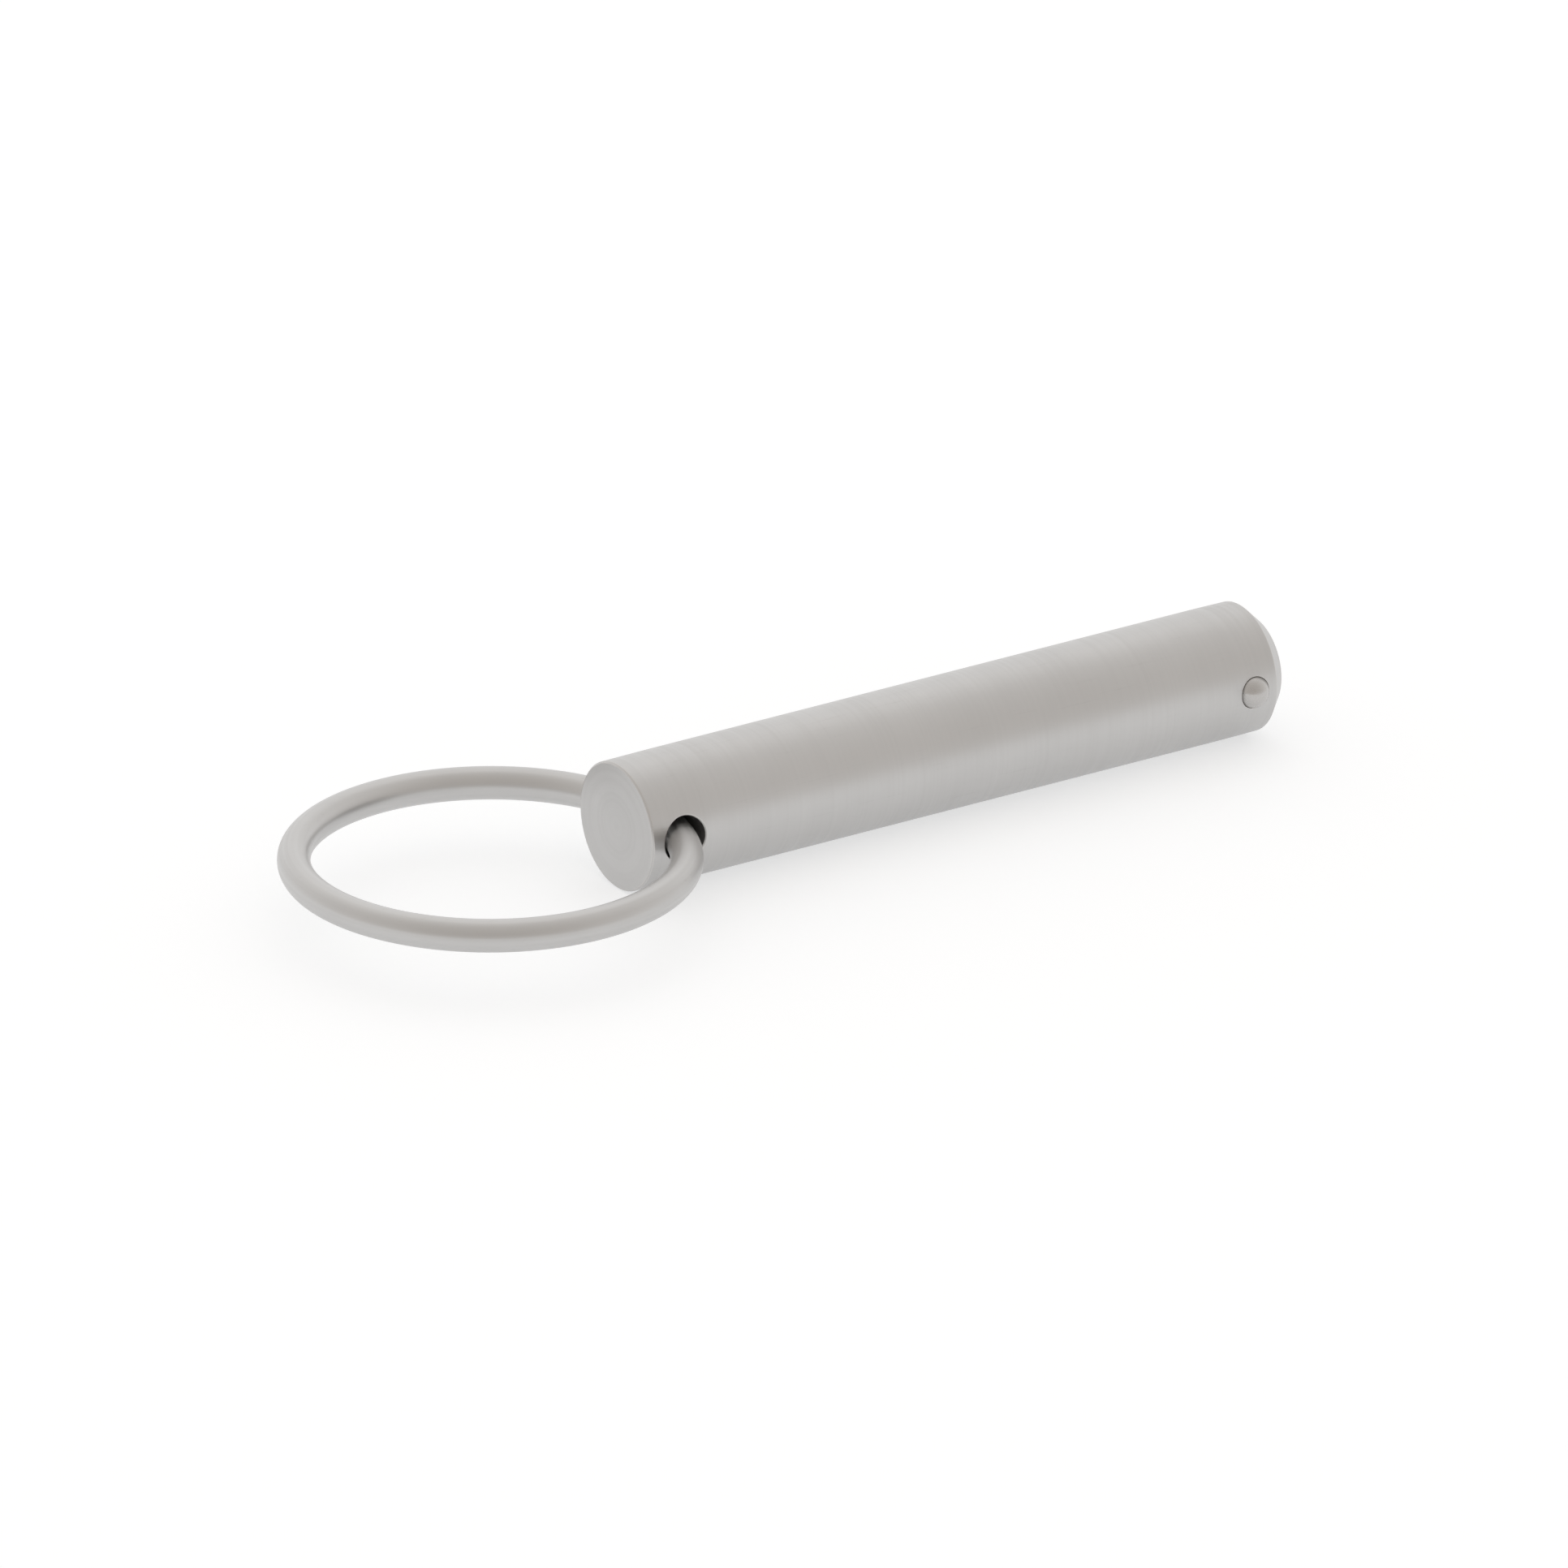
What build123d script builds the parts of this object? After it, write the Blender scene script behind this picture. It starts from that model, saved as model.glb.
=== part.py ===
from build123d import *
import math
import os

# Quick release pin: a plain shank with a pull ring through its head and a sprung detent ball near its tip.
# Millimetres. The shank lies along X with its tip towards +X, and Z is up.
# The origin is on the shank's axis where the grip starts, just past the ring's hole.

# Shank
shank_diameter = 9.525
grip_length = 45.42
detent_to_tip = 3.06
tip_chamfer = 1.24
head_edge_break = 0.12
land_relief = 0.03
land_margin = 0.12

# Pull ring and its hole
ring_wire_diameter = 2.381
ring_inside_diameter = 25.4
ring_hole_offset = 2.76
ring_clearance = 0.045
hole_edge_break = 0.1

# Detent ball and its bore
ball_diameter = 2.381
ball_clearance = 0.025
ball_depth = 0.4
bore_back_wall = 2.5

# Detent spring
spring_wire_width = 0.3
spring_side_clearance = 0.1
spring_end_gap = 0.02
spring_turns = 4

# Length by which every cutting body runs past the surface that it cuts
cut_overrun = 2.0

# Sizes that follow from the ones above
shank_radius = shank_diameter / 2
wire_radius = ring_wire_diameter / 2
ring_radius = (ring_inside_diameter + ring_wire_diameter) / 2

# The wire bends inside the straight hole: its outer side stands furthest out on the shank's axis,
# and its inner side stands furthest in where the wire leaves the shank.
wire_reach_out = ring_radius + wire_radius
wire_reach_in = math.sqrt((ring_radius - wire_radius) ** 2 - shank_radius**2)
ring_hole_radius = (wire_reach_out - wire_reach_in) / 2 + ring_clearance
ring_hole_x = -land_margin - ring_hole_radius
ring_centre_x = ring_hole_x - (wire_reach_out + wire_reach_in) / 2
head_x = ring_hole_x - ring_hole_offset

ball_radius = ball_diameter / 2
bore_radius = ball_radius + ball_clearance
detent_x = grip_length + land_margin + bore_radius
tip_x = detent_x + detent_to_tip
ball_y = ball_depth - shank_radius
bore_end_y = shank_radius - bore_back_wall


def make_shank():
    # Turned profile. The ends beside the grip ease off by a hair, so that the edges of the cross holes
    # stay clear of the bore that the pin slides through.
    land_radius = shank_radius - land_relief
    profile = Polyline(
        (head_x, 0),
        (head_x, land_radius - head_edge_break),
        (head_x + head_edge_break, land_radius),
        (0, shank_radius),
        (grip_length, shank_radius),
        (tip_x - tip_chamfer, land_radius),
        (tip_x, land_radius - tip_chamfer),
        (tip_x, 0),
        close=True,
    )
    turned = revolve(make_face(profile), Axis.X)

    # Hole for the ring, straight through along Y, with its two mouths deburred.
    hole_length = shank_diameter + 2 * cut_overrun
    hole = Pos(ring_hole_x, 0, 0) * Rot(90, 0, 0) * Cylinder(ring_hole_radius, hole_length)
    drilled = turned - hole
    mouths = new_edges(turned, hole, combined=drilled)
    drilled = chamfer(mouths, hole_edge_break)

    # Blind bore for the spring and ball. Its mouth closes round the ball like a staked rim and keeps it in.
    bore_length = bore_end_y - ball_y
    bore = Pos(detent_x, (bore_end_y + ball_y) / 2, 0) * Rot(90, 0, 0) * Cylinder(bore_radius, bore_length)
    seat = Pos(detent_x, ball_y, 0) * Sphere(bore_radius)
    return drilled - bore - seat


def make_ring():
    return Pos(ring_centre_x, 0, 0) * Torus(ring_radius, wire_radius)


def make_ball():
    return Pos(detent_x, ball_y, 0) * Sphere(ball_radius)


def make_spring():
    # Square wire wound up Z in a helix and ground flat at both ends. The ball sits in the outer end's mouth.
    coil_radius = bore_radius - spring_side_clearance - spring_wire_width / 2
    mouth_radius = coil_radius - spring_wire_width / 2
    outer_end_y = ball_y + math.sqrt(ball_radius**2 - mouth_radius**2) + spring_end_gap
    spring_length = bore_end_y - outer_end_y
    winding = Helix(pitch=spring_length / spring_turns, height=spring_length, radius=coil_radius)
    winding_start = Plane(origin=winding @ 0, x_dir=(1, 0, 0), z_dir=winding % 0)
    wire_section = Rectangle(spring_wire_width, spring_wire_width)
    wound = sweep(winding_start * wire_section, path=winding, is_frenet=True)
    between_ends = Pos(0, 0, spring_length / 2) * Box(shank_diameter, shank_diameter, spring_length)
    return Pos(detent_x, outer_end_y, 0) * Rot(-90, 0, 0) * (wound & between_ends)


parts = {
    "shank": make_shank(),
    "pull_ring": make_ring(),
    "detent_ball": make_ball(),
    "detent_spring": make_spring(),
}
os.makedirs("parts", exist_ok=True)
for name, shape in parts.items():
    export_step(shape, f"parts/{name}.step")
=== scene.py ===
"""Looks of a quick release pin.

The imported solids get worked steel, the detent spring is wound anew in round wire,
and a white studio shows the pin from the photograph's side.
"""

import math

import bpy
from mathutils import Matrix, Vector


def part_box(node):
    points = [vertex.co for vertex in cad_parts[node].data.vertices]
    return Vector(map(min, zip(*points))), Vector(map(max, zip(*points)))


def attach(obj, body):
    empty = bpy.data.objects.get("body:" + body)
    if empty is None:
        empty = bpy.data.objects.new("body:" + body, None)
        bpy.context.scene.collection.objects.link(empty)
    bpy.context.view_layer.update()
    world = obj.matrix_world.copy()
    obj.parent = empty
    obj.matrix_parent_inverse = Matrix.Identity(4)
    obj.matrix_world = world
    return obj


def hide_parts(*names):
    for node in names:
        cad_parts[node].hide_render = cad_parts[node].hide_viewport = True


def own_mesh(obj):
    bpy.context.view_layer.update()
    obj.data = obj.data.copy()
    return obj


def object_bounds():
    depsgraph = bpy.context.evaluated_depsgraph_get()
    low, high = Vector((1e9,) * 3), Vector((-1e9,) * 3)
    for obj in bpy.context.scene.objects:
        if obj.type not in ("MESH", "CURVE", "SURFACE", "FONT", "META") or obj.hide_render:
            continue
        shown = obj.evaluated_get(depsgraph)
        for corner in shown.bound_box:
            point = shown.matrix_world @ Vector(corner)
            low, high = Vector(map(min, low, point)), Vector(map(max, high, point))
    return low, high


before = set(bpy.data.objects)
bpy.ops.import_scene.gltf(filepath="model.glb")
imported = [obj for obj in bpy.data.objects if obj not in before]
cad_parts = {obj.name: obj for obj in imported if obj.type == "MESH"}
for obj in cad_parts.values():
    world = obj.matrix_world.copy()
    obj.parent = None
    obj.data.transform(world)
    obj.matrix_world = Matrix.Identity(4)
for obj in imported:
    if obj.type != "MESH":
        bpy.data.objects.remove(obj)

bl_info = {
    "name": "Quick Release Pin",
    "version": (1, 0, 0),
    "blender": (4, 5, 0),
    "location": "View3D > Sidebar > Pin",
    "description": "Finishes a detent pin with a pull ring and sets it on a white studio floor",
    "category": "Object",
}

MM = 0.001
CAD_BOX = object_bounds()
SHANK_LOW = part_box("shank")[0]
RING_LOW, RING_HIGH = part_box("pull_ring")
SPRING_LOW, SPRING_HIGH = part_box("detent_spring")
RING_CENTRE = (RING_LOW + RING_HIGH) / 2
SPRING_CENTRE = (SPRING_LOW + SPRING_HIGH) / 2

# From the middle of the head's face to the middle of the photograph
VIEW_OFFSET = Vector((10.526, -5.567, 2.767)) * MM

# Patterns on the steel
CLOUD_SIZE = 6.0 * MM
SCUFF_WIDTH = 0.15 * MM
SCUFF_DEPTH = 0.001 * MM
SCUFF_DRAW_SHARE = 0.03
EDGE_REACH = 0.1 * MM
GLOSS_SPREAD = 0.07
TURNED_DRIFT_SHARE = 0.02
DRAWN_DRIFT_SHARE = 0.01

# Winding of the spring
WIRE_SIDES = 16
STEPS_PER_TURN = 36
CLOSED_PITCH_SHARE = 1.05
MERGE_REACH = 0.001 * MM
GRIND_REACH = 0.0001 * MM


def linear(hex_colour):
    """Turns an sRGB hex colour into linear RGBA."""
    shares = [int(hex_colour[i : i + 2], 16) / 255 for i in (1, 3, 5)]
    return [s / 12.92 if s <= 0.04045 else ((s + 0.055) / 1.055) ** 2.4 for s in shares] + [1.0]


def add_node(tree, kind, settings=None, inputs=None):
    """Adds a node. Each input is a constant or another node's output socket."""
    node = tree.nodes.new(kind)
    for name, value in (settings or {}).items():
        setattr(node, name, value)
    for name, value in (inputs or {}).items():
        if isinstance(value, bpy.types.NodeSocket):
            tree.links.new(value, node.inputs[name])
        else:
            node.inputs[name].default_value = value
    return node


def new_material(name):
    """Starts a material with an empty node tree and its output."""
    material = bpy.data.materials.new(name)
    material.use_nodes = True
    material.node_tree.nodes.clear()
    return material, material.node_tree, add_node(material.node_tree, "ShaderNodeOutputMaterial")


def dress(obj, material):
    """Gives the whole piece one material."""
    obj.data.materials.clear()
    obj.data.materials.append(material)


def worked_steel(name, colour, worn_colour, roughness, lines, line_spacing, line_depth):
    """A metal with tool lines, faint clouding, fine scuffs and edges that are worn smooth.

    The tool lines follow the coordinates that the function lines adds to the material's tree.
    """
    material, tree, output = new_material(name)
    place = add_node(tree, "ShaderNodeTexCoord").outputs["Object"]
    surface = add_node(tree, "ShaderNodeNewGeometry").outputs["Normal"]

    streaks = add_node(
        tree,
        "ShaderNodeTexNoise",
        inputs={"Vector": lines(tree), "Scale": 1 / line_spacing, "Detail": 4.0, "Roughness": 0.65},
    ).outputs["Fac"]
    clouds = add_node(
        tree,
        "ShaderNodeTexNoise",
        inputs={"Vector": place, "Scale": 1 / CLOUD_SIZE, "Detail": 2.0},
    ).outputs["Fac"]

    # Scuffs are the thin tops of a pattern that is drawn out along the pin, the way it slides in a hole.
    # Real ones are a few hundredths of a millimetre wide. They are drawn coarser so that they show.
    along = add_node(
        tree,
        "ShaderNodeMapping",
        inputs={"Vector": place, "Scale": (SCUFF_DRAW_SHARE, 1.0, 1.0)},
    ).outputs["Vector"]
    scratches = add_node(
        tree,
        "ShaderNodeTexNoise",
        inputs={"Vector": along, "Scale": 1 / SCUFF_WIDTH, "Detail": 2.0},
    ).outputs["Fac"]
    scuffs = add_node(
        tree,
        "ShaderNodeMapRange",
        inputs={"Value": scratches, "From Min": 0.64, "From Max": 0.72},
    ).outputs["Result"]

    # An edge is where the normal over a small reach leaves the surface's own.
    rounded = add_node(tree, "ShaderNodeBevel", {"samples": 8}, {"Radius": EDGE_REACH}).outputs["Normal"]
    flatness = add_node(
        tree,
        "ShaderNodeVectorMath",
        {"operation": "DOT_PRODUCT"},
        {0: rounded, 1: surface},
    ).outputs["Value"]
    wear = add_node(
        tree,
        "ShaderNodeMapRange",
        inputs={"Value": flatness, "From Min": 0.995, "From Max": 0.93},
    ).outputs["Result"]

    # Colour: clouded, and brighter at the worn edges.
    tone = add_node(
        tree,
        "ShaderNodeMapRange",
        inputs={"Value": clouds, "From Min": 0.3, "From Max": 0.7, "To Min": 0.98, "To Max": 1.015},
    ).outputs["Result"]
    clouded = add_node(
        tree,
        "ShaderNodeVectorMath",
        {"operation": "SCALE"},
        {0: colour[:3], "Scale": tone},
    ).outputs["Vector"]
    worn = add_node(
        tree,
        "ShaderNodeMix",
        {"data_type": "RGBA"},
        {0: wear, 6: clouded, 7: worn_colour},
    ).outputs[2]

    # Gloss: uneven along the tool lines, duller in the scuffs and smoother at the worn edges.
    gloss = add_node(
        tree,
        "ShaderNodeMapRange",
        inputs={
            "Value": streaks,
            "From Min": 0.3,
            "From Max": 0.7,
            "To Min": roughness - GLOSS_SPREAD,
            "To Max": roughness + GLOSS_SPREAD,
        },
    ).outputs["Result"]
    scuffed = add_node(
        tree,
        "ShaderNodeMath",
        {"operation": "MULTIPLY_ADD"},
        {0: scuffs, 1: 0.1, 2: gloss},
    ).outputs["Value"]
    polished = add_node(
        tree,
        "ShaderNodeMath",
        {"operation": "MULTIPLY_ADD", "use_clamp": True},
        {0: wear, 1: -0.12, 2: scuffed},
    ).outputs["Value"]

    # Relief: raised tool lines and sunken scuffs over softly rounded edges.
    lined = add_node(
        tree,
        "ShaderNodeBump",
        inputs={"Height": streaks, "Strength": 1.0, "Distance": line_depth, "Normal": rounded},
    ).outputs["Normal"]
    scored = add_node(
        tree,
        "ShaderNodeBump",
        {"invert": True},
        {"Height": scuffs, "Strength": 1.0, "Distance": SCUFF_DEPTH, "Normal": lined},
    ).outputs["Normal"]

    metal = add_node(
        tree,
        "ShaderNodeBsdfPrincipled",
        inputs={"Base Color": worn, "Metallic": 1.0, "Roughness": polished, "Normal": scored},
    )
    tree.links.new(metal.outputs["BSDF"], output.inputs["Surface"])
    return material


def turned_lines(tree):
    """Coordinates of a lathe: along the shank and out from its axis, and very slowly round it."""
    place = add_node(tree, "ShaderNodeTexCoord").outputs["Object"]
    parts = add_node(tree, "ShaderNodeSeparateXYZ", inputs={"Vector": place}).outputs
    across = add_node(tree, "ShaderNodeCombineXYZ", inputs={"Y": parts["Y"], "Z": parts["Z"]})
    reach = add_node(tree, "ShaderNodeVectorMath", {"operation": "LENGTH"}, {0: across.outputs["Vector"]})
    drift = add_node(
        tree,
        "ShaderNodeMath",
        {"operation": "MULTIPLY"},
        {0: parts["Z"], 1: TURNED_DRIFT_SHARE},
    )
    turned = add_node(
        tree,
        "ShaderNodeCombineXYZ",
        inputs={"X": parts["X"], "Y": reach.outputs["Value"], "Z": drift.outputs["Value"]},
    )
    return turned.outputs["Vector"]


def drawn_lines(tree):
    """Coordinates of drawn wire bent into the ring: across the wire, and very slowly along it."""
    place = add_node(tree, "ShaderNodeTexCoord").outputs["Object"]
    centred = add_node(tree, "ShaderNodeMapping", inputs={"Vector": place, "Location": -RING_CENTRE})
    parts = add_node(tree, "ShaderNodeSeparateXYZ", inputs={"Vector": centred.outputs["Vector"]}).outputs
    flat = add_node(tree, "ShaderNodeCombineXYZ", inputs={"X": parts["X"], "Y": parts["Y"]})
    reach = add_node(tree, "ShaderNodeVectorMath", {"operation": "LENGTH"}, {0: flat.outputs["Vector"]})
    drift = add_node(
        tree,
        "ShaderNodeMath",
        {"operation": "MULTIPLY"},
        {0: parts["X"], 1: DRAWN_DRIFT_SHARE},
    )
    drawn = add_node(
        tree,
        "ShaderNodeCombineXYZ",
        inputs={"X": reach.outputs["Value"], "Y": parts["Z"], "Z": drift.outputs["Value"]},
    )
    return drawn.outputs["Vector"]


def plain_place(tree):
    """Coordinates that follow the piece itself."""
    return add_node(tree, "ShaderNodeTexCoord").outputs["Object"]


def wind_wire(context, wire_radius, coil_radius, start, pitch, turns):
    """Winds a round section about Z from the height start, and returns the open tube."""
    bpy.ops.object.select_all(action="DESELECT")
    bpy.ops.mesh.primitive_circle_add(
        vertices=WIRE_SIDES,
        radius=wire_radius,
        location=(coil_radius, 0.0, start),
        rotation=(math.radians(90), 0.0, 0.0),
    )
    tube = context.object
    bpy.ops.object.transform_apply(location=True, rotation=True, scale=True)
    winding = tube.modifiers.new("winding", "SCREW")
    winding.axis = "Z"
    winding.angle = math.tau
    winding.screw_offset = pitch
    winding.iterations = turns
    winding.steps = STEPS_PER_TURN
    winding.render_steps = STEPS_PER_TURN
    winding.use_smooth_shade = True
    bpy.ops.object.modifier_apply(modifier=winding.name)
    return tube


def light_studio(scene, stage, towards_camera):
    """Surrounds the pin with white that is a little darker and warmer behind the camera.

    That gives the metal its soft dark core.
    """
    world = bpy.data.worlds.new("White studio")
    world.use_nodes = True
    tree = world.node_tree
    tree.nodes.clear()
    direction = add_node(tree, "ShaderNodeTexCoord").outputs["Generated"]
    facing = add_node(
        tree,
        "ShaderNodeVectorMath",
        {"operation": "DOT_PRODUCT"},
        {0: direction, 1: towards_camera},
    ).outputs["Value"]
    share = add_node(
        tree,
        "ShaderNodeMapRange",
        inputs={"Value": facing, "From Min": -1.0, "From Max": 1.0},
    ).outputs["Result"]
    light = add_node(
        tree,
        "ShaderNodeMapRange",
        inputs={"Value": share, "To Min": stage.wall_light, "To Max": stage.camera_side_light},
    ).outputs["Result"]
    tint = add_node(
        tree,
        "ShaderNodeMix",
        {"data_type": "RGBA"},
        {0: share, 6: stage.wall_colour, 7: stage.camera_side_colour},
    ).outputs[2]
    walls = add_node(tree, "ShaderNodeBackground", inputs={"Color": tint, "Strength": light})
    add_node(tree, "ShaderNodeOutputWorld", inputs={"Surface": walls.outputs["Background"]})
    scene.world = world


def lay_floor(context, stage):
    """Lays white paper under the pin."""
    bpy.ops.object.select_all(action="DESELECT")
    bpy.ops.mesh.primitive_plane_add(size=stage.floor_size, location=(0.0, 0.0, CAD_BOX[0][2]))
    floor = context.object
    floor.name = "studio_floor"

    # The paper keeps the pin's shadow.
    # A little light of its own brings it to white where it is seen or mirrored.
    material, tree, output = new_material("White paper sweep")
    paper = add_node(tree, "ShaderNodeBsdfDiffuse", inputs={"Color": stage.paper_colour})
    rays = add_node(tree, "ShaderNodeLightPath").outputs
    mirrored = add_node(
        tree,
        "ShaderNodeMath",
        {"operation": "MAXIMUM"},
        {0: rays["Is Glossy Ray"], 1: rays["Is Transmission Ray"]},
    ).outputs["Value"]
    seen = add_node(
        tree,
        "ShaderNodeMath",
        {"operation": "MAXIMUM"},
        {0: rays["Is Camera Ray"], 1: mirrored},
    ).outputs["Value"]
    lift = add_node(
        tree,
        "ShaderNodeMath",
        {"operation": "MULTIPLY"},
        {0: seen, 1: stage.floor_lift},
    ).outputs["Value"]
    glow = add_node(tree, "ShaderNodeEmission", inputs={"Strength": lift})
    both = add_node(
        tree,
        "ShaderNodeAddShader",
        inputs={0: paper.outputs["BSDF"], 1: glow.outputs["Emission"]},
    )
    tree.links.new(both.outputs["Shader"], output.inputs["Surface"])
    dress(floor, material)


def hang_soft_box(context, stage):
    """Hangs one wide soft box over the far side. It draws a soft light line along the top of the metal."""
    place = Vector(stage.box_place)
    bpy.ops.object.light_add(type="AREA", location=place)
    soft_box = context.object
    soft_box.name = "soft_box"
    soft_box.rotation_euler = place.to_track_quat("Z", "Y").to_euler()
    soft_box.data.shape = "SQUARE"
    soft_box.data.size = stage.box_size
    soft_box.data.energy = stage.box_light * math.pi * stage.box_size**2


def place_camera(context, stage, towards_camera):
    """Sets the camera far off with a long lens, because the photograph has no perspective."""
    aim = Vector((SHANK_LOW.x, 0.0, 0.0)) + VIEW_OFFSET
    bpy.ops.object.camera_add(location=aim + towards_camera * stage.camera_distance)
    camera = context.object
    camera.rotation_euler = towards_camera.to_track_quat("Z", "Y").to_euler()
    camera.data.lens = camera.data.sensor_width * stage.camera_distance / stage.view_width
    camera.data.clip_start = stage.camera_distance / 40
    camera.data.clip_end = stage.camera_distance * 5
    context.scene.camera = camera


def colour_setting(name, description, hex_colour):
    """A colour that a user may change."""
    return bpy.props.FloatVectorProperty(
        name=name,
        description=description,
        subtype="COLOR",
        size=4,
        min=0.0,
        max=1.0,
        default=linear(hex_colour),
    )


def roughness_setting(name, description, default):
    """A roughness that a user may change."""
    return bpy.props.FloatProperty(
        name=name,
        description=description,
        subtype="FACTOR",
        min=0.0,
        max=1.0,
        default=default,
    )


def light_setting(name, description, default):
    """A brightness that a user may change, where 1 is white."""
    return bpy.props.FloatProperty(name=name, description=description, min=0.0, default=default)


class PinFinish(bpy.types.PropertyGroup):
    """Colours and gloss of the steel."""

    shank_colour: colour_setting("Shank", "Turned stainless steel of the shank", "#C5C4C3")
    ring_colour: colour_setting("Ring", "Drawn stainless wire of the pull ring", "#C5C4C3")
    ball_colour: colour_setting("Ball", "Lapped steel of the detent ball", "#BFBDBB")
    spring_colour: colour_setting("Spring", "Drawn spring wire behind the ball", "#8D8A87")
    worn_colour: colour_setting("Worn edge", "Bright steel where edges are rubbed", "#D2CFCB")
    shank_roughness: roughness_setting("Shank roughness", "Mean roughness of the turned shank", 0.4)
    ring_roughness: roughness_setting("Ring roughness", "Mean roughness of the drawn ring", 0.38)
    ball_roughness: roughness_setting("Ball roughness", "Mean roughness of the lapped ball", 0.28)
    spring_roughness: roughness_setting("Spring roughness", "Mean roughness of the spring's wire", 0.42)


class PinSpring(bpy.types.PropertyGroup):
    """Sizes of the detent spring, which fills the room that the solid holds."""

    wire: bpy.props.FloatProperty(
        name="Wire",
        description="Diameter of the spring's round wire",
        unit="LENGTH",
        default=0.3 * MM,
    )
    open_turns: bpy.props.IntProperty(
        name="Open turns",
        description="Turns between the two closed end coils",
        default=4,
        min=1,
    )


class PinStage(bpy.types.PropertyGroup):
    """The photograph's view and the studio round the pin."""

    azimuth: bpy.props.FloatProperty(
        name="Azimuth",
        description="Turn of the camera about the vertical, from the view along +Y",
        subtype="ANGLE",
        default=math.radians(-33.57),
    )
    elevation: bpy.props.FloatProperty(
        name="Elevation",
        description="Height angle of the camera above the floor",
        subtype="ANGLE",
        default=math.radians(22.82),
    )
    view_width: bpy.props.FloatProperty(
        name="View width",
        description="Width of the square view at the pin",
        unit="LENGTH",
        default=110.89 * MM,
    )
    camera_distance: bpy.props.FloatProperty(
        name="Camera distance",
        description="Distance from the camera to the pin",
        unit="LENGTH",
        default=4.0,
        min=0.2,
    )
    wall_light: light_setting("Wall light", "Brightness of the studio behind the pin", 1.1)
    wall_colour: colour_setting("Wall", "Tint of the studio behind the pin", "#FFFFFF")
    camera_side_light: light_setting("Camera side light", "Brightness of the studio behind the camera", 0.66)
    camera_side_colour: colour_setting("Camera side", "Tint of the studio behind the camera", "#FFF9F3")
    floor_size: bpy.props.FloatProperty(
        name="Floor size",
        description="Side of the square of paper under the pin",
        unit="LENGTH",
        default=4.0,
    )
    paper_colour: colour_setting("Paper", "Colour of the paper under the pin", "#C5C7C9")
    floor_lift: light_setting("Floor lift", "The paper's own light where it is seen or mirrored", 0.54)
    box_light: light_setting("Soft box light", "Brightness of the soft box over the pin", 0.12)
    box_size: bpy.props.FloatProperty(
        name="Soft box size",
        description="Side of the square soft box",
        unit="LENGTH",
        default=0.6,
    )
    box_place: bpy.props.FloatVectorProperty(
        name="Soft box place",
        description="Middle of the soft box, which faces the origin",
        subtype="TRANSLATION",
        unit="LENGTH",
        size=3,
        default=(0.15, 0.35, 0.55),
    )


class PIN_OT_shank(bpy.types.Operator):
    """Give the shank its turned steel"""

    bl_idname = "pin.shank"
    bl_label = "Shank"

    def execute(self, context):
        finish = context.scene.pin_finish
        # Bar turned on a lathe: a soft sheen broken by fine lines round the shank and rings on both faces.
        # Real feed lines are about 0.05 mm apart. They are drawn coarser so that they show.
        steel = worked_steel(
            "Turned stainless steel",
            finish.shank_colour,
            finish.worn_colour,
            finish.shank_roughness,
            lines=turned_lines,
            line_spacing=0.3 * MM,
            line_depth=0.003 * MM,
        )
        dress(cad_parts["shank"], steel)
        return {"FINISHED"}


class PIN_OT_pull_ring(bpy.types.Operator):
    """Give the pull ring its drawn wire"""

    bl_idname = "pin.pull_ring"
    bl_label = "Pull Ring"

    def execute(self, context):
        finish = context.scene.pin_finish
        # Wire pulled through a die: a soft sheen with faint lines that run along the wire.
        # Real die lines are finer. They are drawn coarser so that they show.
        wire = worked_steel(
            "Drawn stainless wire",
            finish.ring_colour,
            finish.worn_colour,
            finish.ring_roughness,
            lines=drawn_lines,
            line_spacing=0.3 * MM,
            line_depth=0.002 * MM,
        )
        dress(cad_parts["pull_ring"], wire)
        return {"FINISHED"}


class PIN_OT_detent_ball(bpy.types.Operator):
    """Give the detent ball its polish"""

    bl_idname = "pin.detent_ball"
    bl_label = "Detent Ball"

    def execute(self, context):
        finish = context.scene.pin_finish
        # Ground and lapped ball: smoother than the shank, with patches of gloss that rubbing left uneven.
        steel = worked_steel(
            "Lapped ball steel",
            finish.ball_colour,
            finish.worn_colour,
            finish.ball_roughness,
            lines=plain_place,
            line_spacing=0.4 * MM,
            line_depth=0.0002 * MM,
        )
        dress(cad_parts["detent_ball"], steel)
        return {"FINISHED"}


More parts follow.
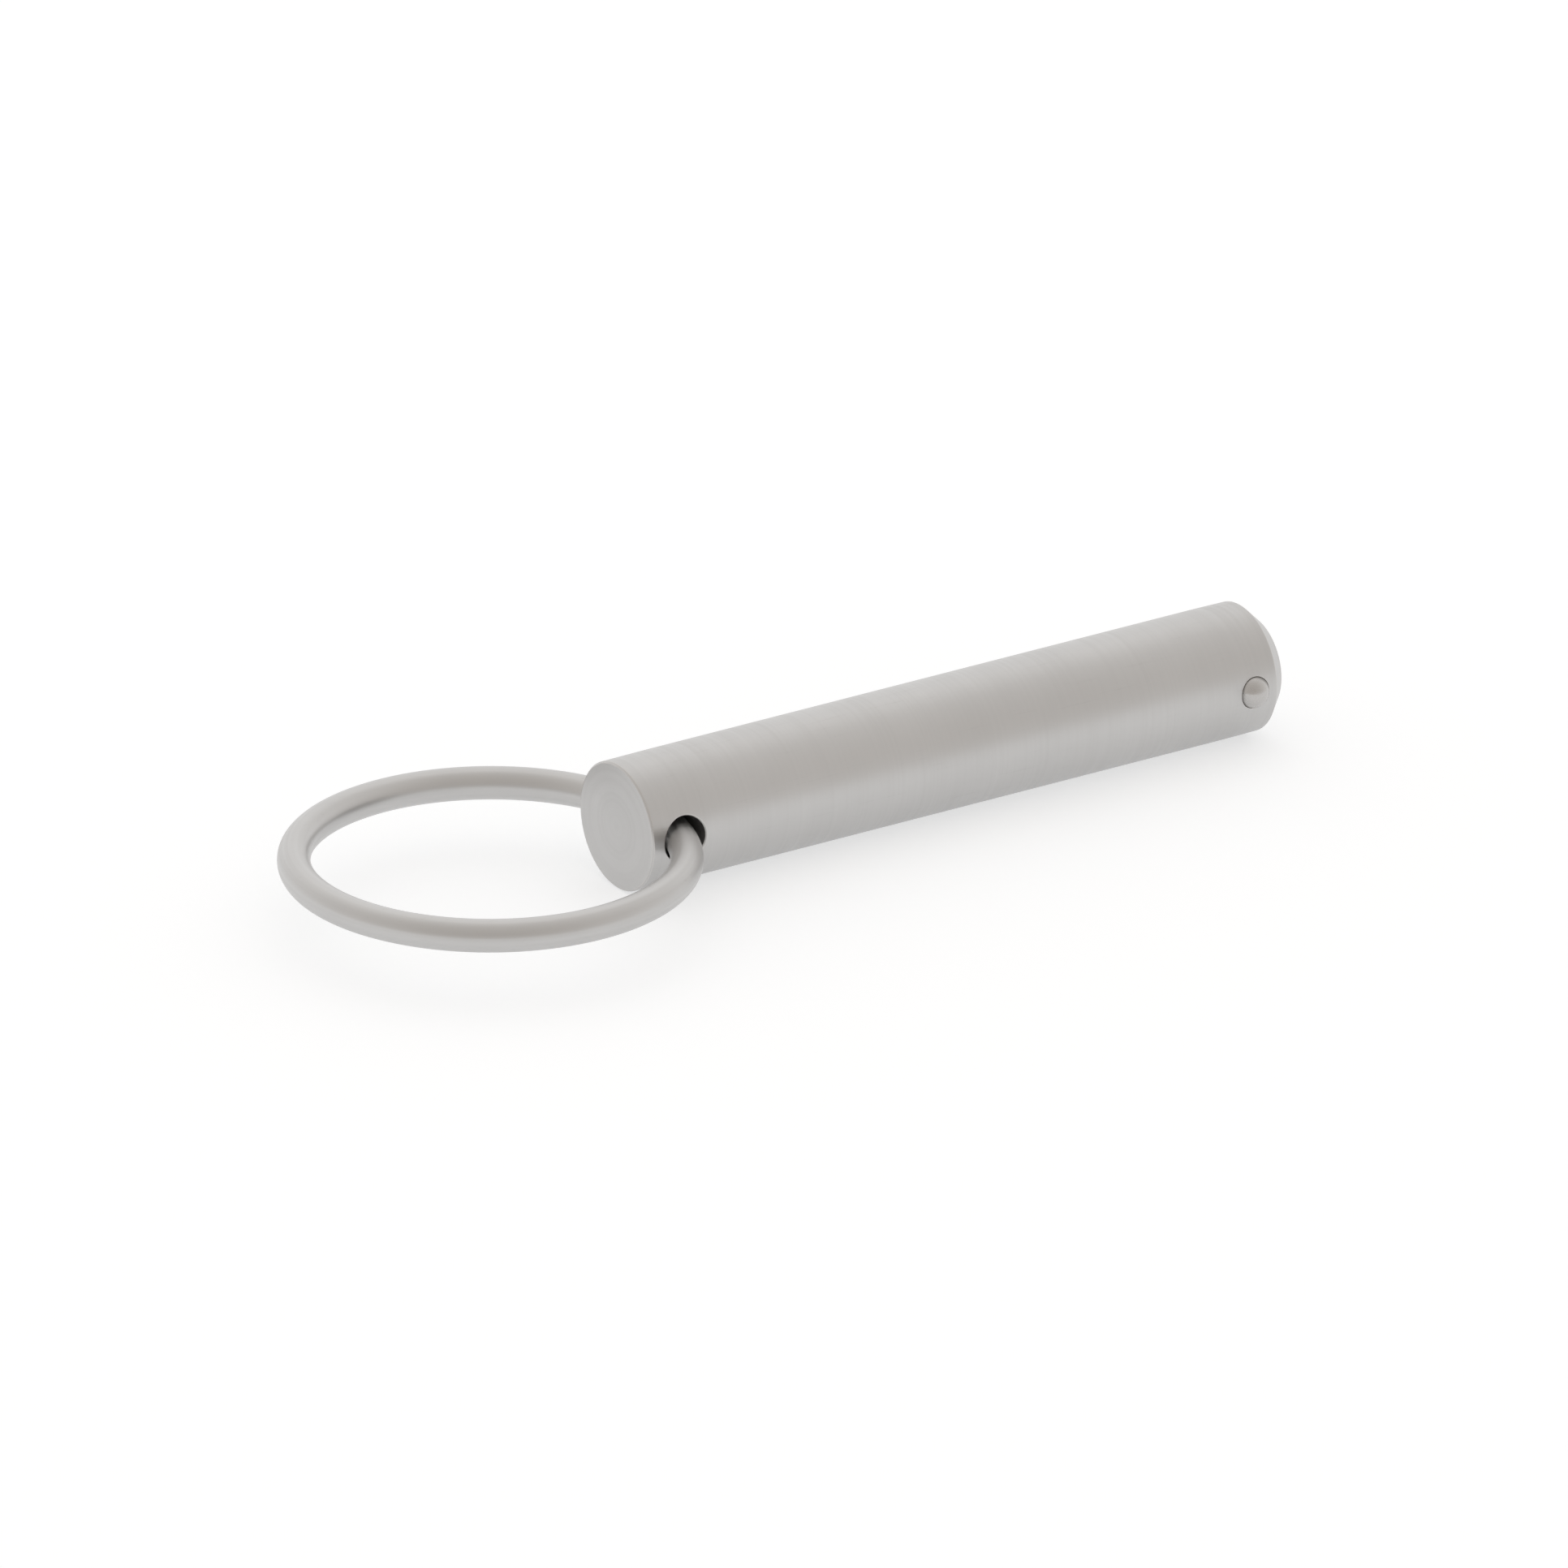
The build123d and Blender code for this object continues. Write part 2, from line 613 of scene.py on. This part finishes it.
class PIN_OT_detent_spring(bpy.types.Operator):
    """Wind the detent spring behind the ball"""

    bl_idname = "pin.detent_spring"
    bl_label = "Detent Spring"

    def execute(self, context):
        sizes = context.scene.pin_spring
        finish = context.scene.pin_finish
        coil_radius = (SPRING_HIGH.x - SPRING_LOW.x - sizes.wire) / 2
        length = SPRING_HIGH.y - SPRING_LOW.y
        closed_pitch = sizes.wire * CLOSED_PITCH_SHARE
        open_pitch = (length - 2 * closed_pitch) / sizes.open_turns

        # The wire is wound up Z in three stretches that meet end to end:
        # a closed coil, the open turns and another closed coil.
        stretches = []
        height = 0.0
        for pitch, turns in ((closed_pitch, 1), (open_pitch, sizes.open_turns), (closed_pitch, 1)):
            stretches.append(wind_wire(context, sizes.wire / 2, coil_radius, height, pitch, turns))
            height += pitch * turns
        bpy.ops.object.select_all(action="DESELECT")
        for stretch in stretches:
            stretch.select_set(True)
        context.view_layer.objects.active = stretches[0]
        bpy.ops.object.join()
        spring = context.object
        spring.name = "wound_spring"

        # The stretches become one wire, its ends are closed, and both end coils are ground flat.
        bpy.ops.object.mode_set(mode="EDIT")
        bpy.ops.mesh.select_all(action="SELECT")
        bpy.ops.mesh.remove_doubles(threshold=MERGE_REACH)
        bpy.ops.mesh.fill_holes(sides=0)
        bpy.ops.mesh.select_all(action="SELECT")
        bpy.ops.mesh.normals_make_consistent(inside=False)
        for end, outward in ((0.0, -1.0), (length, 1.0)):
            bpy.ops.mesh.select_all(action="SELECT")
            bpy.ops.mesh.bisect(
                plane_co=(0.0, 0.0, end),
                plane_no=(0.0, 0.0, outward),
                use_fill=True,
                clear_outer=True,
                threshold=GRIND_REACH,
            )
        bpy.ops.object.mode_set(mode="OBJECT")
        bpy.ops.object.shade_smooth_by_angle(angle=math.radians(40))

        # It is laid along the bore with its first coil at the ball.
        spring.rotation_euler = (math.radians(-90), 0.0, 0.0)
        spring.location = (SPRING_CENTRE.x, SPRING_LOW.y, SPRING_CENTRE.z)
        bpy.ops.object.transform_apply(location=True, rotation=True, scale=True)

        # Hard drawn spring wire: darker and duller than the stainless pieces.
        wire = worked_steel(
            "Drawn spring wire",
            finish.spring_colour,
            finish.worn_colour,
            finish.spring_roughness,
            lines=plain_place,
            line_spacing=0.2 * MM,
            line_depth=0.001 * MM,
        )
        dress(spring, wire)
        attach(spring, "pin")
        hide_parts("detent_spring")
        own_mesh(spring)
        return {"FINISHED"}


class PIN_OT_stage(bpy.types.Operator):
    """Set the pin on a white floor in soft light, seen as in the photograph"""

    bl_idname = "pin.stage"
    bl_label = "Stage"

    def execute(self, context):
        stage = context.scene.pin_stage
        context.scene.view_settings.view_transform = "Standard"
        # A bake carries the steel's own colour past the edges of its map, so that no dark seam shows.
        context.scene.render.bake.margin_type = "EXTEND"
        towards_camera = Vector(
            (
                math.sin(stage.azimuth) * math.cos(stage.elevation),
                -math.cos(stage.azimuth) * math.cos(stage.elevation),
                math.sin(stage.elevation),
            )
        )
        light_studio(context.scene, stage, towards_camera)
        lay_floor(context, stage)
        hang_soft_box(context, stage)
        place_camera(context, stage, towards_camera)
        return {"FINISHED"}


class PIN_PT_panel(bpy.types.Panel):
    """Sidebar panel that lists the pin's settings and pieces"""

    bl_idname = "PIN_PT_panel"
    bl_label = "Quick Release Pin"
    bl_space_type = "VIEW_3D"
    bl_region_type = "UI"
    bl_category = "Pin"

    def draw(self, context):
        scene = context.scene
        for settings in (scene.pin_finish, scene.pin_spring, scene.pin_stage):
            for name in type(settings).__annotations__:
                self.layout.prop(settings, name)
        for operator in ("pin.shank", "pin.pull_ring", "pin.detent_ball", "pin.detent_spring", "pin.stage"):
            self.layout.operator(operator)


CLASSES = (
    PinFinish,
    PinSpring,
    PinStage,
    PIN_OT_shank,
    PIN_OT_pull_ring,
    PIN_OT_detent_ball,
    PIN_OT_detent_spring,
    PIN_OT_stage,
    PIN_PT_panel,
)


def register():
    for cls in CLASSES:
        bpy.utils.register_class(cls)
    bpy.types.Scene.pin_finish = bpy.props.PointerProperty(type=PinFinish)
    bpy.types.Scene.pin_spring = bpy.props.PointerProperty(type=PinSpring)
    bpy.types.Scene.pin_stage = bpy.props.PointerProperty(type=PinStage)


def unregister():
    del bpy.types.Scene.pin_stage
    del bpy.types.Scene.pin_spring
    del bpy.types.Scene.pin_finish
    for cls in reversed(CLASSES):
        bpy.utils.unregister_class(cls)


def main():
    register()
    bpy.ops.pin.shank()
    bpy.ops.pin.pull_ring()
    bpy.ops.pin.detent_ball()
    bpy.ops.pin.detent_spring()
    bpy.ops.pin.stage()


if __name__ == "__main__":
    main()
